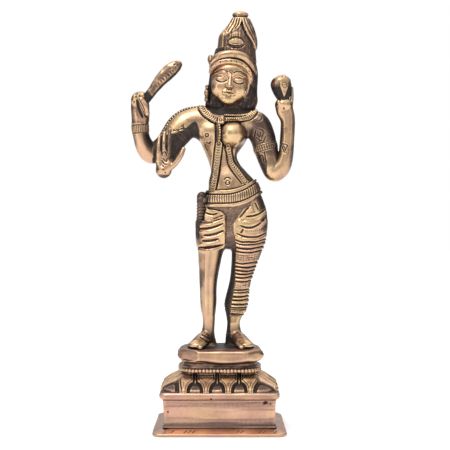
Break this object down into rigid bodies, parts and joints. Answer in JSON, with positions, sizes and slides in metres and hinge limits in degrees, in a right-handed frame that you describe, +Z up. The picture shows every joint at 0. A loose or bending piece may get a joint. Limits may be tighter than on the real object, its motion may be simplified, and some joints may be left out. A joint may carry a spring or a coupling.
{
  "type": "standing deity statue on pedestal",
  "caption": "Cast brass standing figure, half god and half goddess, with raised hands, on a square plinth with a lotus tier.",
  "frame": {"origin": "middle of the footprint's bounding box, on the surface that the plinth stands on", "axes": "+Z up, the figure faces -Y, +X is the figure's left (the goddess's side)"},
  "size_m": [0.0812, 0.052, 0.2028],
  "materials": {
    "brass": "polished cast brass, antiqued dark in its recesses",
    "copper_tinted_brass": "brushed cast brass with a pinkish copper tint",
    "patinated_brass": "cast brass, dark patina with rubbed high spots"
  },
  "bodies": {
    "root": {"foot_plate": "copper_tinted_brass", "plinth_block": "copper_tinted_brass", "plinth_cornice": "copper_tinted_brass", "lotus_tier": "brass", "bead_ring": "brass", "pedestal_cap": "copper_tinted_brass", "right_leg": "brass", "left_leg": "brass", "hips": "brass", "torso": "brass", "head": "brass", "crown": "brass", "right_front_arm": "brass", "right_front_hand": "brass", "right_rear_arm": "brass", "left_arm": "brass", "club": "brass", "lotus_bud": "brass", "necklace": "patinated_brass", "girdle": "patinated_brass", "sacred_thread": "patinated_brass", "hip_sash": "patinated_brass", "tiara": "brass", "ear_pendant": "patinated_brass", "ear_flower": "patinated_brass", "right_armlet": "patinated_brass", "left_armlet": "patinated_brass", "rear_bracelet": "patinated_brass", "right_anklet": "patinated_brass", "left_anklet": "patinated_brass"}
  },
  "joints": []
}
